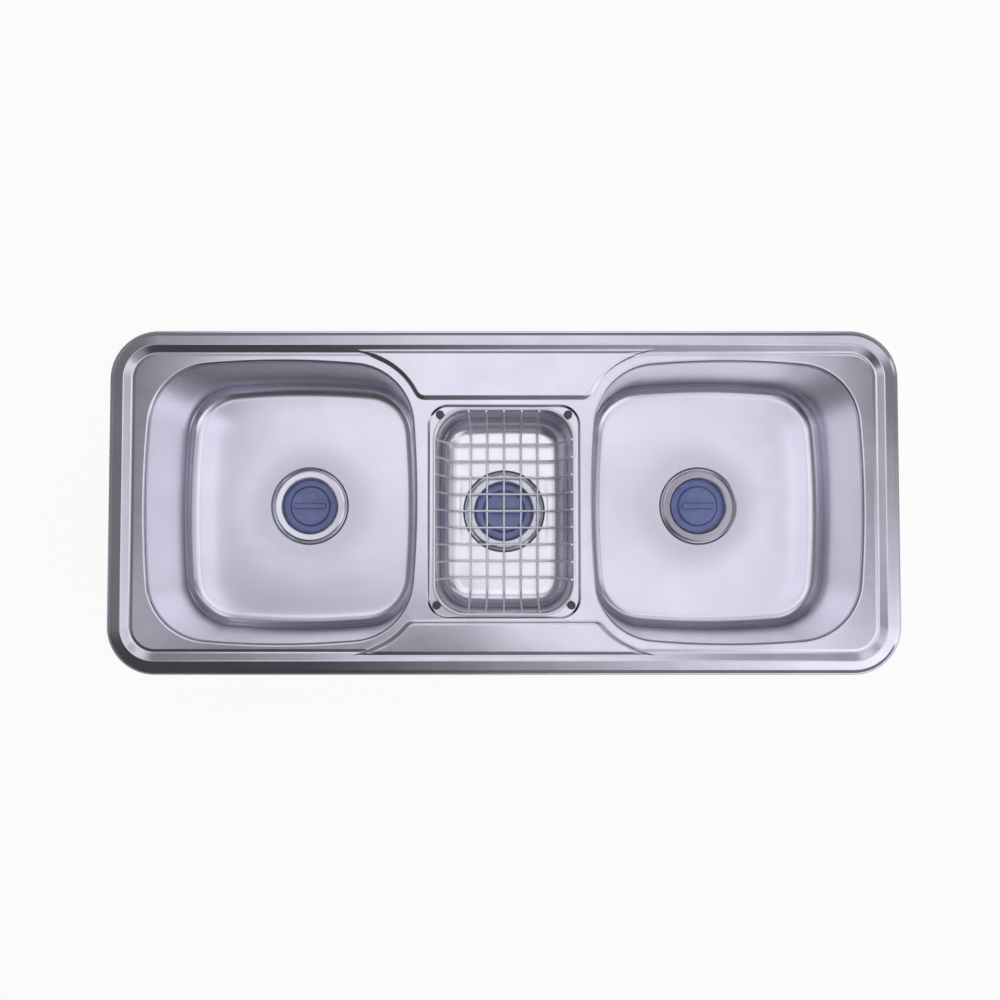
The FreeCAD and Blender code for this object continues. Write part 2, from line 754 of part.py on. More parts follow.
def clip_screw():
    """Axis on the origin, top end at height zero."""
    shank = Part.makeCylinder(clip_screw_radius, clip_screw_length, Vector(0, 0, -clip_screw_length))
    low = -clip_screw_length - clip_head_height
    head = Part.makeCylinder(clip_head_radius, clip_head_height, Vector(0, 0, low))
    slot = Part.makeBox(2 * clip_head_radius + 2 * overrun, slot_width, slot_depth + overrun,
                        Vector(-clip_head_radius - overrun, -slot_width / 2, low - overrun))
    return shank.fuse(head).cut(slot).removeSplitter()


def clip_claw():
    """Parked along +X, resting just over the screw's head."""
    low = -clip_screw_length + running_gap
    plate = Part.makeBox(claw_reach, 2 * claw_half, claw_thick, Vector(0, -claw_half, low))
    eye = Part.makeCylinder(claw_half, claw_thick, Vector(0, 0, low))
    hole = Part.makeCylinder(clip_screw_radius + running_gap, claw_thick + 2 * overrun,
                             Vector(0, 0, low - overrun))
    top = low + claw_lip_height
    pitch = 2 * claw_half / claw_teeth
    back = claw_reach - claw_thick
    points = [Vector(back, -claw_half, low), Vector(back, claw_half, low)]
    for i in range(claw_teeth):
        edge = claw_half - i * pitch
        points.append(Vector(back, edge, top - claw_tooth_height))
        points.append(Vector(back, edge - pitch / 2, top))
    points.append(Vector(back, -claw_half, top - claw_tooth_height))
    lip = Part.Face(Part.makePolygon(points + points[:1])).extrude(Vector(claw_thick, 0, 0))
    return plate.fuse(eye).fuse(lip).cut(hole).removeSplitter()


def fixings():
    half_x = sink_length / 2
    half_y = sink_width / 2
    long_places = [-long_clip_pitch, 0.0, long_clip_pitch]
    long_rail = rail(long_rail_half, half_y, long_places)
    end_rail = rail(end_rail_half, half_x, [0.0])
    save(long_rail, "rear_rail")
    save(turned_about(long_rail, 180), "front_rail")
    save(turned_about(end_rail, 90), "left_rail")
    save(turned_about(end_rail, -90), "right_rail")

    nut = Part.makeBox(2 * nut_half, 2 * nut_half, nut_thick, Vector(-nut_half, -nut_half, rail_shelf))
    bore = Part.makeCylinder(clip_screw_radius + thread_clear, nut_thick + 2 * overrun,
                             Vector(0, 0, rail_shelf - overrun))
    nut = nut.cut(bore)
    screw_top = rail_shelf + clip_screw_grip
    places = {}
    for name, x in zip(["left", "middle", "right"], long_places):
        places["rear_" + name] = (x, half_y - clip_inward, 0)
        places["front_" + name] = (x, -half_y + clip_inward, 180)
    places["left_end"] = (-half_x + clip_inward, 0.0, 90)
    places["right_end"] = (half_x - clip_inward, 0.0, -90)
    nuts = []
    for name, (x, y, angle) in places.items():
        nuts.append(moved(nut, x, y))
        save(moved(clip_screw(), x, y, screw_top), name + "_clip_screw")
        save(moved(turned_about(clip_claw(), angle), x, y, screw_top), name + "_clip_claw")
        print(name, "clip axis", x, y, "parked at", angle)
    save(Part.makeCompound(nuts), "rail_nuts")


def damping_pad():
    under = bowl_floor - sheet
    low = under - pad_thick
    outline = rounded_rectangle(pad_half_x, pad_half_y, pad_corner_radius, -bowl_centre_x, 0.0, low)
    pad = prism(outline, pad_thick)
    hole = Part.makeCylinder(pad_hole, pad_thick + 2 * overrun,
                             Vector(bowl_waste.x, bowl_waste.y, low - overrun))
    return pad.cut(hole)


left_bowl = bowl(left_lip, deck_under - collar_depth, bowl_floor, bowl_draft, bowl_floor_round, bowl_waste)
save(deck(), "deck")
save(left_bowl, "left_bowl")
save(mirrored(left_bowl, across_x), "right_bowl")
save(bowl(small_lip, ledge_under - collar_depth, small_floor, small_draft, small_floor_round, small_waste),
     "centre_bowl")
wastes()
save(basket_frame(), "basket_frame")
save(basket_long_wires(), "basket_long_wires")
save(basket_cross_wires(), "basket_cross_wires")
save(basket_feet(), "basket_feet")
save(seal_strip(), "seal_strip")
fixings()
left_pad = damping_pad()
save(left_pad, "left_damping_pad")
save(mirrored(left_pad, across_x), "right_damping_pad")
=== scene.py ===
import math

import bmesh
import bpy
from mathutils import Matrix, Vector
from mathutils.geometry import delaunay_2d_cdt


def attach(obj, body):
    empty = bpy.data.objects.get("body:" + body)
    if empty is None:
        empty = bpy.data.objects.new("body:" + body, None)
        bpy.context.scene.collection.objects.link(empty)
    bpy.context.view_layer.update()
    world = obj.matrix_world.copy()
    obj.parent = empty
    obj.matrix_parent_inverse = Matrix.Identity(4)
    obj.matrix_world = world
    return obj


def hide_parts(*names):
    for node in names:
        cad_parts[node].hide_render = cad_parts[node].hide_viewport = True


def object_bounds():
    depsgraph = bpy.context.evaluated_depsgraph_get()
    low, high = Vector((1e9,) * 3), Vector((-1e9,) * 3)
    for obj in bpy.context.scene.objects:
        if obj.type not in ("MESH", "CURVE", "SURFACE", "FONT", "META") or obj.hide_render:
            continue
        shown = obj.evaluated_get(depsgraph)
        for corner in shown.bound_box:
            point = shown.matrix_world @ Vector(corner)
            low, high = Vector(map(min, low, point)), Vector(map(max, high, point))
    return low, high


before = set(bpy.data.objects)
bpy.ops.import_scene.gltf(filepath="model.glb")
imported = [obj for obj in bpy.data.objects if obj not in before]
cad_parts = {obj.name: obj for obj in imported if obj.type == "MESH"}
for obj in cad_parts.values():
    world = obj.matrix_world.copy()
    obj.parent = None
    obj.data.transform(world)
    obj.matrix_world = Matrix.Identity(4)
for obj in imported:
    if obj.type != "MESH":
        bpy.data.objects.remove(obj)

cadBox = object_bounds()
mm = 0.001
fullTurn = 2 * math.pi
sharpAngle = 32  # degrees between faces, past which an edge stays sharp


# finishes

class Signal:
    # a node's output that can be used in sums
    def __init__(self, finish, socket):
        self.finish = finish
        self.socket = socket

    def maths(self, operation, first, second):
        return self.finish.add("ShaderNodeMath", {"operation": operation}, {0: first, 1: second})

    def __add__(self, other):
        return self.maths("ADD", self, other)

    def __radd__(self, other):
        return self.maths("ADD", other, self)

    def __sub__(self, other):
        return self.maths("SUBTRACT", self, other)

    def __rsub__(self, other):
        return self.maths("SUBTRACT", other, self)

    def __mul__(self, other):
        return self.maths("MULTIPLY", self, other)

    def __rmul__(self, other):
        return self.maths("MULTIPLY", other, self)


class Finish:
    def __init__(self, name, owner=None):
        self.material = owner or bpy.data.materials.new(name)
        self.material.use_nodes = True
        self.tree = self.material.node_tree
        self.shader = self.tree.nodes.get("Principled BSDF")

    def plug(self, socket, value):
        if isinstance(value, Signal):
            self.tree.links.new(value.socket, socket)
        else:
            socket.default_value = value

    def add(self, kind, settings=None, values=None, output=0):
        made = self.tree.nodes.new(kind)
        for key, value in (settings or {}).items():
            setattr(made, key, value)
        for key, value in (values or {}).items():
            self.plug(made.inputs[key], value)
        return Signal(self, made.outputs[output])

    def give(self, **inputs):
        for key, value in inputs.items():
            self.plug(self.shader.inputs[key.replace("_", " ")], value)

    def blend(self, share, first, second):
        # two shaders mixed into the output
        mixed = self.add("ShaderNodeMixShader", {}, {0: share, 1: first, 2: second})
        end = next(node for node in self.tree.nodes if node.type in ("OUTPUT_MATERIAL", "OUTPUT_WORLD"))
        self.plug(end.inputs["Surface"], mixed)

    def seenDirectly(self):
        # 1 for what the camera, a shiny surface or a clear one sees
        kinds = ("Is Camera Ray", "Is Glossy Ray", "Is Transmission Ray")
        camera, glossy, clear = [self.add("ShaderNodeLightPath", output=kind) for kind in kinds]
        return camera.maths("MAXIMUM", camera.maths("MAXIMUM", camera, glossy), clear)

    def between(self, share, first, second):
        # a colour between two others
        values = {0: share, 6: colour(first), 7: colour(second)}
        return self.add("ShaderNodeMix", {"data_type": "RGBA"}, values, output=2)

    def place(self, centre=(0, 0, 0), stretch=(1, 1, 1)):
        # the object's own coordinates in millimetres from a centre, stretched
        where = self.add("ShaderNodeTexCoord", output="Object")
        shift = tuple(-c * s for c, s in zip(centre, stretch))
        scale = tuple(s / mm for s in stretch)
        return self.add("ShaderNodeMapping", {}, {"Vector": where, "Location": shift, "Scale": scale})

    def noise(self, where, scale, detail=3.0, rough=0.5):
        values = {"Vector": where, "Scale": scale, "Detail": detail, "Roughness": rough}
        return self.add("ShaderNodeTexNoise", {}, values)

    def ease(self, value, low, high):
        # 0 to 1 from one value to another, eased
        values = {"Value": value, "From Min": low, "From Max": high}
        return self.add("ShaderNodeMapRange", {"interpolation_type": "SMOOTHSTEP"}, values)

    def bump(self, height, depth):
        return self.add("ShaderNodeBump", {}, {"Height": height, "Distance": depth * mm})

    def fromAxis(self, centre):
        # distance in millimetres from an upright axis
        flat = self.place(centre, (1, 1, 0))
        return self.add("ShaderNodeVectorMath", {"operation": "LENGTH"}, {0: flat}, output="Value")


def sway(noise, much):
    # a noise that swings both ways from nothing
    return (noise - 0.5) * much


def colour(value):
    return value if isinstance(value, Signal) else (*value, 1)


brush = {"clouds": 0.012, "smears": 0.05, "smearStretch": (0.6, 1.2, 1.0), "smearing": 0.08}
deckLook = {
    "pale": (0.66, 0.65, 0.77), "dark": (0.50, 0.49, 0.58), "roughness": 0.2,
    "grain": (0.02, 2.2, 2.2), "depth": 0.003, "spread": 0.08, "streak": 0.35,
}
bowlLook = {
    "pale": (0.71, 0.70, 0.825), "dark": (0.60, 0.59, 0.70), "roughness": 0.24,
    "grain": (0.05, 1.6, 0.5), "depth": 0.0012, "spread": 0.05, "streak": 0.15,
    # the paler wall colour above these heights is painted light
    "wall": (0.93, 0.925, 0.97), "wallHeights": (-174, -144),
    # round each waste a ring of painted shade: its centres, outer and inner radius, colour and strength
    "wastes": [(-316, 0, 0), (316, 0, 0)], "ring": (118, 62), "dull": (0.42, 0.415, 0.50), "paintedShade": 0.5,
}
smallBowlLook = {
    **bowlLook, "pale": (0.70, 0.70, 0.79), "dark": (0.63, 0.63, 0.72), "roughness": 0.22,
    "wall": (0.93, 0.925, 0.96), "wallHeights": (-90, -60), "wastes": [(0, -11, 0)], "paintedShade": 0.3,
}
railLook = {
    **deckLook, "pale": (0.66, 0.66, 0.67), "dark": (0.5, 0.5, 0.52), "roughness": 0.4,
    "grain": (0.05, 1.0, 1.0),
}


def brushedSteel(name, look):
    # fine lines along the grain, broad cloudiness and a few smears
    steel = Finish(name)
    lines = steel.noise(steel.place(stretch=look["grain"]), 1.0, 4.0, 0.6)
    clouds = steel.noise(steel.place(), brush["clouds"])
    smears = steel.noise(steel.place(stretch=brush["smearStretch"]), brush["smears"], 4.0, 0.65)
    tint = steel.between(sway(lines, look["streak"]) + clouds, look["dark"], look["pale"])
    if "wall" in look:
        # painted shade in a ring round each waste, and the walls painted paler upwards as painted light
        for waste in look["wastes"]:
            share = steel.ease(steel.fromAxis(waste), *look["ring"]) * look["paintedShade"]
            tint = steel.between(share, tint, look["dull"])
        # painted light: the walls are made paler by height to brighten them
        height = steel.add("ShaderNodeSeparateXYZ", {}, {0: steel.place()}, output="Z")
        tint = steel.between(steel.ease(height, *look["wallHeights"]), tint, look["wall"])
    steel.give(Base_Color=tint, Metallic=1.0)
    uneven = sway(smears, brush["smearing"])
    steel.give(Roughness=look["roughness"] + sway(lines, look["spread"]) + uneven)
    steel.give(Normal=steel.bump(lines, look["depth"]))
    return steel.material


polish = {"specks": 0.6, "spread": 0.08, "depth": 0.002}


def polishedSteel(name, look):
    steel = Finish(name)
    specks = steel.noise(steel.place(), polish["specks"], 4.0, 0.6)
    steel.give(Base_Color=steel.between(specks, look["dark"], look["pale"]), Metallic=1.0)
    steel.give(Roughness=look["roughness"] + sway(specks, polish["spread"]))
    steel.give(Normal=steel.bump(specks, look.get("depth", polish["depth"])))
    return steel.material


skinLook = {"clouds": 0.05, "spread": 0.12}


def plainPlastic(name, pale, dark, roughness, grain=1.5, depth=0.01, coat=0.0):
    # moulded plastic or rubber with a fine skin
    skin = Finish(name)
    fine = skin.noise(skin.place(), grain)
    broad = skin.noise(skin.place(), skinLook["clouds"], 2.0)
    skin.give(Base_Color=skin.between(broad, dark, pale), Coat_Weight=coat)
    skin.give(Roughness=roughness + sway(fine, skinLook["spread"]))
    skin.give(Normal=skin.bump(fine, depth))
    return skin.material


deckSteel = brushedSteel("deckSteel", deckLook)
bowlSteel = brushedSteel("bowlSteel", bowlLook)
smallBowlSteel = brushedSteel("smallBowlSteel", smallBowlLook)
# one waste steel in three copies of painted light: the left is painted paler, the centre and right darker
drainLooks = {
    "left": {"pale": (0.64, 0.635, 0.73), "dark": (0.56, 0.555, 0.64), "roughness": 0.14},
    "centre": {"pale": (0.46, 0.455, 0.53), "dark": (0.40, 0.395, 0.46), "roughness": 0.18},
    "right": {"pale": (0.37, 0.365, 0.43), "dark": (0.32, 0.315, 0.37), "roughness": 0.18},
}
wireLook = {"pale": (0.97, 0.96, 1.0), "dark": (0.90, 0.89, 0.95), "roughness": 0.5}
zincLook = {"pale": (0.72, 0.72, 0.70), "dark": (0.52, 0.53, 0.54), "roughness": 0.3, "depth": 0.01}
drainSteel = {side: polishedSteel(side + "DrainSteel", look) for side, look in drainLooks.items()}
wireSteel = polishedSteel("wireSteel", wireLook)
railSteel = brushedSteel("railSteel", railLook)
zincSteel = polishedSteel("zincSteel", zincLook)
blackRubber = plainPlastic("blackRubber", (0.045, 0.045, 0.05), (0.03, 0.03, 0.033), roughness=0.75)
greyFoam = plainPlastic("greyFoam", (0.30, 0.30, 0.31), (0.2, 0.2, 0.21), roughness=0.9, grain=1.0, depth=0.3)
footRubber = plainPlastic("footRubber", (0.075, 0.08, 0.13), (0.05, 0.055, 0.09), roughness=0.45)
padRubber = plainPlastic("padRubber", (0.16, 0.16, 0.17), (0.11, 0.11, 0.115), roughness=0.85, grain=0.5,
                         depth=0.4)
whitePlastic = plainPlastic("whitePlastic", (0.84, 0.84, 0.82), (0.78, 0.78, 0.76), roughness=0.42, grain=1.2,
                            depth=0.02)
bluePlastic = plainPlastic("bluePlastic", (0.19, 0.235, 0.56), (0.095, 0.125, 0.34), roughness=0.2, grain=0.4,
                           depth=0.02, coat=0.45)
print("finishes mixed")


# mesh tools, all sizes in millimetres

seamGap = 0.001  # where a turned or joined mesh closes
pieceGap = 0.0005
fillGap = 0.0001
flatGap = 0.01


def softPath(points, radii, steps=6):
    # a flat path with rounded corners
    places = [Vector(p) for p in points]
    path = [places[0]]
    for i in range(1, len(places) - 1):
        corner = places[i]
        if not radii[i]:
            path.append(corner)
            continue
        back = (places[i - 1] - corner).normalized()
        ahead = (places[i + 1] - corner).normalized()
        half = back.angle(ahead) / 2
        reach = radii[i] / math.tan(half)
        centre = corner + (back + ahead).normalized() * radii[i] / math.sin(half)
        first = corner + back * reach - centre
        last = corner + ahead * reach - centre
        start = math.atan2(first.y, first.x)
        sweep = (math.atan2(last.y, last.x) - start + math.pi) % fullTurn - math.pi
        for k in range(steps + 1):
            angle = start + sweep * k / steps
            path.append(centre + Vector((math.cos(angle), math.sin(angle))) * radii[i])
    path.append(places[-1])
    return path


def fourfold(quarter, centre):
    # a quarter of an outline, points with their normals, mirrored into a whole one
    half = quarter + [(Vector((-p.x, p.y)), Vector((-n.x, n.y))) for p, n in reversed(quarter[:-1])]
    whole = half + [(Vector((p.x, -p.y)), Vector((n.x, -n.y))) for p, n in reversed(half[1:-1])]
    return [(p + Vector(centre), n) for p, n in whole]


lipSteps = (9, 16, 9)  # points on the side, the corner and the back of a lip's quarter


def bowedOutline(lip, steps=lipSteps):
    # a rounded rectangle whose sides bow out, anticlockwise
    halfX, halfY = lip["half"]
    corner, bow = lip["corner"], lip["bow"]
    sideRadius = ((halfY - corner) ** 2 + bow ** 2) / (2 * bow)
    backRadius = ((halfX - corner) ** 2 + bow ** 2) / (2 * bow)
    sideCentre = Vector((halfX - sideRadius, 0))
    backCentre = Vector((0, halfY - backRadius))
    apart = (backCentre - sideCentre).length
    along = ((sideRadius - corner) ** 2 - (backRadius - corner) ** 2 + apart ** 2) / (2 * apart)
    across = math.sqrt((sideRadius - corner) ** 2 - along ** 2)
    unit = (backCentre - sideCentre).normalized()
    cornerCentre = sideCentre + unit * along + Vector((-unit.y, unit.x)) * across
    turns = []
    for centre in (sideCentre, backCentre):
        toward = cornerCentre - centre
        turns.append(math.atan2(toward.y, toward.x))
    quarter = []
    arcs = ((sideCentre, sideRadius, 0, turns[0]), (cornerCentre, corner, turns[0], turns[1]),
            (backCentre, backRadius, turns[1], math.pi / 2))
    for (centre, radius, start, end), count in zip(arcs, steps):
        for k in range(count):
            angle = start + (end - start) * k / count
            normal = Vector((math.cos(angle), math.sin(angle)))
            quarter.append((centre + normal * radius, normal))
    quarter.append((Vector((0, halfY)), Vector((0, 1))))
    return fourfold(quarter, lip["centre"])


def roundedOutline(half, corner, centre=(0, 0), steps=(6, 12, 6)):
    # a plain rounded rectangle
    quarter = []
    for k in range(steps[0]):
        quarter.append((Vector((half[0], (half[1] - corner) * k / steps[0])), Vector((1, 0))))
    for k in range(steps[1] + 1):
        angle = math.pi / 2 * k / steps[1]
        normal = Vector((math.cos(angle), math.sin(angle)))
        quarter.append((Vector((half[0] - corner, half[1] - corner)) + normal * corner, normal))
    for k in range(1, steps[2] + 1):
        quarter.append((Vector(((half[0] - corner) * (1 - k / steps[2]), half[1])), Vector((0, 1))))
    return fourfold(quarter, centre)


def circleOutline(radius, centre=(0, 0), count=96):
    turns = [fullTurn * k / count for k in range(count)]
    normals = [Vector((math.cos(a), math.sin(a))) for a in turns]
    return [(Vector(centre) + n * radius, n) for n in normals]


def inset(outline, inward, z):
    return [Vector((p.x - n.x * inward, p.y - n.y * inward, z)) for p, n in outline]


def startRing(bm, places):
    waiting = bmesh.ops.create_circle(bm, segments=len(places), radius=1)["verts"]
    ring = [waiting.pop(0)]
    while waiting:
        last = ring[-1]
        following = next(e.other_vert(last) for e in last.link_edges if e.other_vert(last) in waiting)
        waiting.remove(following)
        ring.append(following)
    for vert, place in zip(ring, places):
        vert.co = place
    return ring


def vertsOf(geom):
    return [g for g in geom if isinstance(g, bmesh.types.BMVert)]


def growRing(bm, ring, places):
    # extrudes a closed ring and puts the new one in its place
    edges = [bm.edges.get((ring[i - 1], ring[i])) for i in range(len(ring))]
    made = set(vertsOf(bmesh.ops.extrude_edge_only(bm, edges=edges)["geom"]))
    fresh = []
    for vert, place in zip(ring, places):
        new = next(e.other_vert(vert) for e in vert.link_edges if e.other_vert(vert) in made)
        new.co = place
        fresh.append(new)
    return fresh


def carry(bm, outline, section, ring=None):
    # a section of distances inwards and heights, carried round an outline
    for inward, z in section:
        places = inset(outline, inward, z)
        ring = growRing(bm, ring, places) if ring else startRing(bm, places)
    return ring


def turn(bm, section, steps=96, closed=True):
    # spins a section of radii and heights round the upright axis
    verts = [bm.verts.new((r, 0, z)) for r, z in section]
    pairs = list(zip(verts, verts[1:]))
    if closed:
        pairs.append((verts[-1], verts[0]))
    edges = [bm.edges.new(pair) for pair in pairs]
    bmesh.ops.spin(bm, geom=verts + edges, cent=(0, 0, 0), axis=(0, 0, 1), dvec=(0, 0, 0), angle=fullTurn,
                   steps=steps, use_merge=True, use_duplicate=False)
    bmesh.ops.remove_doubles(bm, verts=bm.verts, dist=seamGap)


def flatFill(bm, loops, lines=()):
    # fills the flat space in the first closed loop, following the other loops and the lines laid on it
    spots = []
    edges = []
    for run, closed in [(loop, True) for loop in loops] + [(line, False) for line in lines]:
        first = len(spots)
        spots += [Vector((p.x, p.y)) for p in run]
        edges += [(first + k, first + k + 1) for k in range(len(run) - 1)]
        if closed:
            edges.append((len(spots) - 1, first))
    places, _, faces, origins, _, _ = delaunay_2d_cdt(spots, edges, [], 1, fillGap)
    verts = [bm.verts.new((p.x, p.y, 0)) for p in places]
    owner = {}
    for vert, sources in zip(verts, origins):
        for source in sources:
            owner[source] = vert
    for face in faces:
        bm.faces.new([verts[k] for k in face])
    rings = []
    first = 0
    for loop in loops:
        rings.append([owner[first + k] for k in range(len(loop))])
        first += len(loop)
    return rings


def openUp(bm, ring):
    # clears the fill out of a hole
    inside = set(ring)
    faces = [f for f in bm.faces if all(v in inside for v in f.verts)]
    bmesh.ops.delete(bm, geom=faces, context="FACES")


def join(bm, other):
    # adds another bmesh, which it frees
    mesh = bpy.data.meshes.new("joined")
    other.to_mesh(mesh)
    other.free()
    bm.from_mesh(mesh)
    bpy.data.meshes.remove(mesh)


def centred(bm, centre):
    bmesh.ops.translate(bm, vec=centre, verts=bm.verts)


def box(bm, low, high, bevel=0.0, segments=2):
    made = bmesh.ops.create_cube(bm, size=1)["verts"]
    bmesh.ops.scale(bm, vec=Vector(high) - Vector(low), verts=made)
    bmesh.ops.translate(bm, vec=(Vector(high) + Vector(low)) / 2, verts=made)
    if bevel:
        edges = list({e for v in made for e in v.link_edges})
        made = bmesh.ops.bevel(bm, geom=edges, offset=bevel, offset_type="OFFSET", affect="EDGES",
                               segments=segments, profile=0.5, material=-1)["verts"]
    return made


def makePiece(name, bm, finish, body, nodes, sheet=0.0):
    # turns a mesh in millimetres into a finished piece on its body, a sheet with its face already up
    bmesh.ops.remove_doubles(bm, verts=bm.verts, dist=pieceGap)
    if not sheet:
        bmesh.ops.recalc_face_normals(bm, faces=bm.faces)
    bmesh.ops.scale(bm, vec=(mm, mm, mm), verts=bm.verts)
    mesh = bpy.data.meshes.new(name)
    bm.to_mesh(mesh)
    bm.free()
    mesh.polygons.foreach_set("use_smooth", [True] * len(mesh.polygons))
    mesh.set_sharp_from_angle(angle=math.radians(sharpAngle))
    mesh.materials.append(finish)
    piece = bpy.data.objects.new(name, mesh)
    bpy.context.scene.collection.objects.link(piece)
    if sheet:
        skin = piece.modifiers.new("skin", "SOLIDIFY")
        skin.thickness = sheet * mm
        skin.offset = -1
    shade = piece.modifiers.new("shade", "WEIGHTED_NORMAL")
    shade.keep_sharp = True
    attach(piece, body)
    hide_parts(*nodes)


def faceUp(bm):
    # an open sheet whose visible side looks up
    bmesh.ops.recalc_face_normals(bm, faces=bm.faces)
    lean = sum(f.normal.z * f.calc_area() for f in bm.faces)
    if lean < 0:
        bmesh.ops.reverse_faces(bm, faces=bm.faces)


# the pressed deck

rim = {
    "half": (575, 250), "corner": 70,
    "section": [(0, 0.75), (0.7, 1), (2.5, 1), (6.5, 3.6), (20.6, 7.1), (32, 0.9), (37, 2), (40, 2)],
    "rounding": [0, 0.4, 1.5, 6, 3.5, 6, 3, 0],
}
largeLip = {"centre": (-325.5, 0), "half": (196.5, 205.4), "corner": 90, "bow": 4.5, "roll": 4}
smallLip = {"centre": (0, -13.75), "half": (100.3, 147.75), "corner": 48, "bow": 1, "roll": 3.5}
deckSize = {"level": 2, "sheet": 1, "collar": 8, "collarDraft": 0.2, "rollShort": 0.1}
ledge = {
    "width": (11.5, 8.5), "corner": 30, "drop": 2.5, "run": 4.4, "ease": 0.3,
    "lines": (0, 0.1, 0.2, 0.3, 0.5, 0.7, 0.8, 0.9, 1),
}
raised = {
    "rise": 3.5, "run": 8, "clear": 13, "corner": 18, "tail": 65.4, "valley": 26, "rear": 148, "front": 170.5,
    "lines": (0, 0.1, 0.2, 0.3, 0.4, 0.45, 0.5, 0.65, 0.8, 0.9, 1), "steps": (6, 10, 6, 24),
}


def softStep(share):
    share = min(max(share, 0), 1)
    return share * share * (3 - 2 * share)


def easedRamp(share, ease):
    # a straight ramp from 0 to 1 with rounded ends
    share = min(max(share, 0), 1)
    if share > 0.5:
        return 1 - easedRamp(1 - share, ease)
    if share < ease:
        return share * share / (2 * ease * (1 - ease))
    return (share - ease / 2) / (1 - ease)


leftOutline = bowedOutline(largeLip)
rightOutline = bowedOutline({**largeLip, "centre": (325.5, 0)})
smallOutline = bowedOutline(smallLip, (10, 12, 8))
rimPath = softPath(rim["section"], rim["rounding"], steps=7)
ledgeHalf = [h + w for h, w in zip(smallLip["half"], ledge["width"])]


# the middle of the corner's arc, taken back by its radius, is the arc's centre
cornerPlace, cornerNormal = leftOutline[lipSteps[0] + lipSteps[1] // 2]
bowlCorner = cornerPlace - cornerNormal * largeLip["corner"]


def depthInside(x, y, half, corner):
    # how far inside a rounded rectangle a place lies
    qx = abs(x) - half[0] + corner
    qy = abs(y) - half[1] + corner
    return corner - math.hypot(max(qx, 0), max(qy, 0)) - min(max(qx, qy), 0)


def rimHeight(inward):
    for (d0, z0), (d1, z1) in zip(rimPath, rimPath[1:]):
        if inward <= d1:
            return z0 + (z1 - z0) * (inward - d0) / max(d1 - d0, 1e-6)
    return rimPath[-1].y


def plateauShape(front):
    # what bounds a raised ledge: the bowl's corner, a radius round it, and the centre of the rounding
    centre = bowlCorner
    sideRadius = largeLip["corner"] + raised["clear"]
    roundY = front + raised["corner"]
    roundX = centre.x + math.sqrt((sideRadius + raised["corner"]) ** 2 - (roundY - centre.y) ** 2)
    return centre, sideRadius, Vector((roundX, roundY))


def plateauDepth(x, y, front):
    # how far inside the raised ledge a place lies
    centre, sideRadius, rounding = plateauShape(front)
    place = Vector((-abs(x), abs(y)))
    out = place - centre
    tail = math.radians(raised["tail"])
    if math.atan2(out.y, out.x) > tail:
        side = out.dot(Vector((math.cos(tail), math.sin(tail)))) - sideRadius
    else:
        side = out.length - sideRadius
    ahead = place.y - front
    fromRound = place - rounding
    toBowl = centre - rounding
    beside = fromRound.x * toBowl.y - fromRound.y * toBowl.x
    if fromRound.x < 0 and fromRound.y < 0 and beside < 0:
        return raised["corner"] - fromRound.length
    return min(side, ahead, rim["half"][1] - abs(y) - raised["valley"])


def deckHeight(x, y):
    height = rimHeight(depthInside(x, y, rim["half"], rim["corner"]))
    sunk = depthInside(x, y - smallLip["centre"][1], ledgeHalf, ledge["corner"])
    height -= ledge["drop"] * easedRamp(sunk / ledge["run"], ledge["ease"])
    if abs(y) > raised["rear"]:
        front = raised["rear"] if y > 0 else raised["front"]
        above = max(deckSize["level"] + raised["rise"] - height, 0)
        height += above * softStep(plateauDepth(x, y, front) / raised["run"])
    return height


def plateauLine(front, inward):
    # one pressed line round a raised ledge: tail, side, rounding and front, then the same mirrored
    tailSteps, sideSteps, roundSteps, frontSteps = raised["steps"]
    centre, sideRadius, rounding = plateauShape(front)
    radius = sideRadius + inward
    tail = math.radians(raised["tail"])
    tailStart = centre + Vector((math.cos(tail), math.sin(tail))) * radius
    along = Vector((-math.sin(tail), math.cos(tail)))
    reach = (rim["half"][1] - raised["valley"] - inward - tailStart.y) / along.y
    line = [tailStart + along * reach * k / tailSteps for k in range(tailSteps, 0, -1)]
    toward = rounding - centre
    stop = math.atan2(toward.y, toward.x)
    for k in range(sideSteps + 1):
        angle = tail + (stop - tail) * k / sideSteps
        line.append(centre + Vector((math.cos(angle), math.sin(angle))) * radius)
    back = math.atan2(-toward.y, -toward.x)
    small = raised["corner"] - inward
    for k in range(1, roundSteps + 1):
        angle = back + (-math.pi / 2 - back) * k / roundSteps
        line.append(rounding + Vector((math.cos(angle), math.sin(angle))) * small)
    line += [Vector((-p.x, p.y)) for p in reversed(line)]
    return line + [line[-1].lerp(line[0], k / frontSteps) for k in range(1, frontSteps + 1)]


def rollLip(bm, outline, ring, roll, level):
    # rolls the sheet's edge down into the collar that a bowl is welded in
    low = level - deckSize["sheet"] - deckSize["collar"]
    section = [(-roll, level), (0, level), (deckSize["collarDraft"], low)]
    carry(bm, outline, softPath(section, [0, roll - deckSize["rollShort"], 0], steps=8)[1:], ring)


